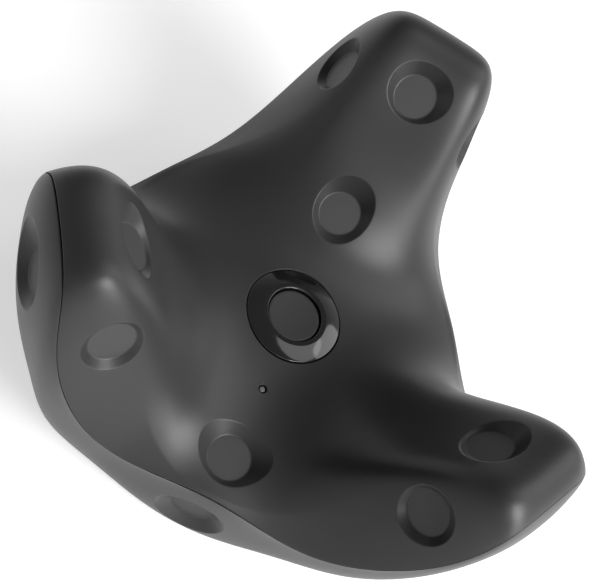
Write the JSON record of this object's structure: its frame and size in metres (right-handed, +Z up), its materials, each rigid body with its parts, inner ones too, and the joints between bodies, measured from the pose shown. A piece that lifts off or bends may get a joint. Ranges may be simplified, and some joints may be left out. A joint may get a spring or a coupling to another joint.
{
  "type": "virtual reality motion tracker",
  "caption": "Small motion tracker: a dished centre with a round button between three raised arms, recessed sensor windows all over, and a tripod thread under a rubber pad.",
  "frame": {"origin": "mouth of the tripod thread, on the plane that the tracker rests on", "axes": "+Z up, out of the dished face; +Y along the arm that has a window on its ramp"},
  "size_m": [0.0786, 0.0708, 0.0447],
  "materials": {
    "cover_plastic": "moulded matte plastic, very fine grain",
    "shell_plastic": "moulded matte plastic, very fine grain",
    "ring_gloss": "polished black",
    "button_plastic": "fine matte",
    "switch_metal": "stamped",
    "light_lens": "frosted light guide",
    "led_white": "moulded",
    "board_green": "solder mask",
    "chip_black": "moulded",
    "antenna_ceramic": "fired",
    "battery_film": "wrapped in film",
    "connector_ivory": "moulded",
    "lead_red": "insulation",
    "port_steel": "drawn",
    "frame_grey": "moulded",
    "plate_plastic": "glass filled, matte",
    "insert_brass": "machined",
    "pad_rubber": "matte",
    "contact_gold": "gold plated",
    "screw_steel": "zinc plated",
    "flex_amber": "polyimide film",
    "sensor_board": "solder mask"
  },
  "bodies": {
    "housing": {"top_cover": "cover_plastic", "bottom_shell": "shell_plastic", "button_ring": "ring_gloss", "switch_body": "switch_metal", "light_pipe": "light_lens", "status_led": "led_white", "main_board": "board_green", "processor_chip": "chip_black", "timing_chip": "chip_black", "motion_chip": "chip_black", "radio_chip": "chip_black", "charger_chip": "chip_black", "antenna": "antenna_ceramic", "battery_cell": "battery_film", "battery_connector": "connector_ivory", "battery_leads": "lead_red", "usb_receptacle": "port_steel", "usb_tongue": "chip_black", "inner_frame": "frame_grey", "base_plate": "plate_plastic", "thread_insert": "insert_brass", "friction_pad": "pad_rubber", "contact_block": "chip_black", "contact_pads": "contact_gold", "cover_screws": "screw_steel", "board_screws": "screw_steel", "base_screws": "screw_steel", "flex_connector_a": "connector_ivory", "flex_connector_b": "connector_ivory", "flex_connector_c": "connector_ivory", "arm_flex_a": "flex_amber", "arm_flex_b": "flex_amber", "arm_flex_c": "flex_amber", "sensor_inner_a": "sensor_board", "sensor_inner_b": "sensor_board", "sensor_inner_c": "sensor_board", "sensor_left_a": "sensor_board", "sensor_left_b": "sensor_board", "sensor_left_c": "sensor_board", "sensor_right_a": "sensor_board", "sensor_right_b": "sensor_board", "sensor_right_c": "sensor_board", "sensor_end_a": "sensor_board", "sensor_end_b": "sensor_board", "sensor_end_c": "sensor_board", "sensor_under_a": "sensor_board", "sensor_under_b": "sensor_board", "sensor_under_c": "sensor_board", "sensor_low_a": "sensor_board", "sensor_low_c": "sensor_board", "sensor_ramp": "sensor_board", "sensor_dish": "sensor_board"},
    "button": {"power_button": "button_plastic", "switch_plunger": "chip_black"}
  },
  "joints": [
    {"name": "button_press", "type": "slide", "parent": "housing", "child": "button", "axis": [0, 0, -1], "range_m": [0, 0.00035], "stiffness_N_per_m": 600}
  ]
}
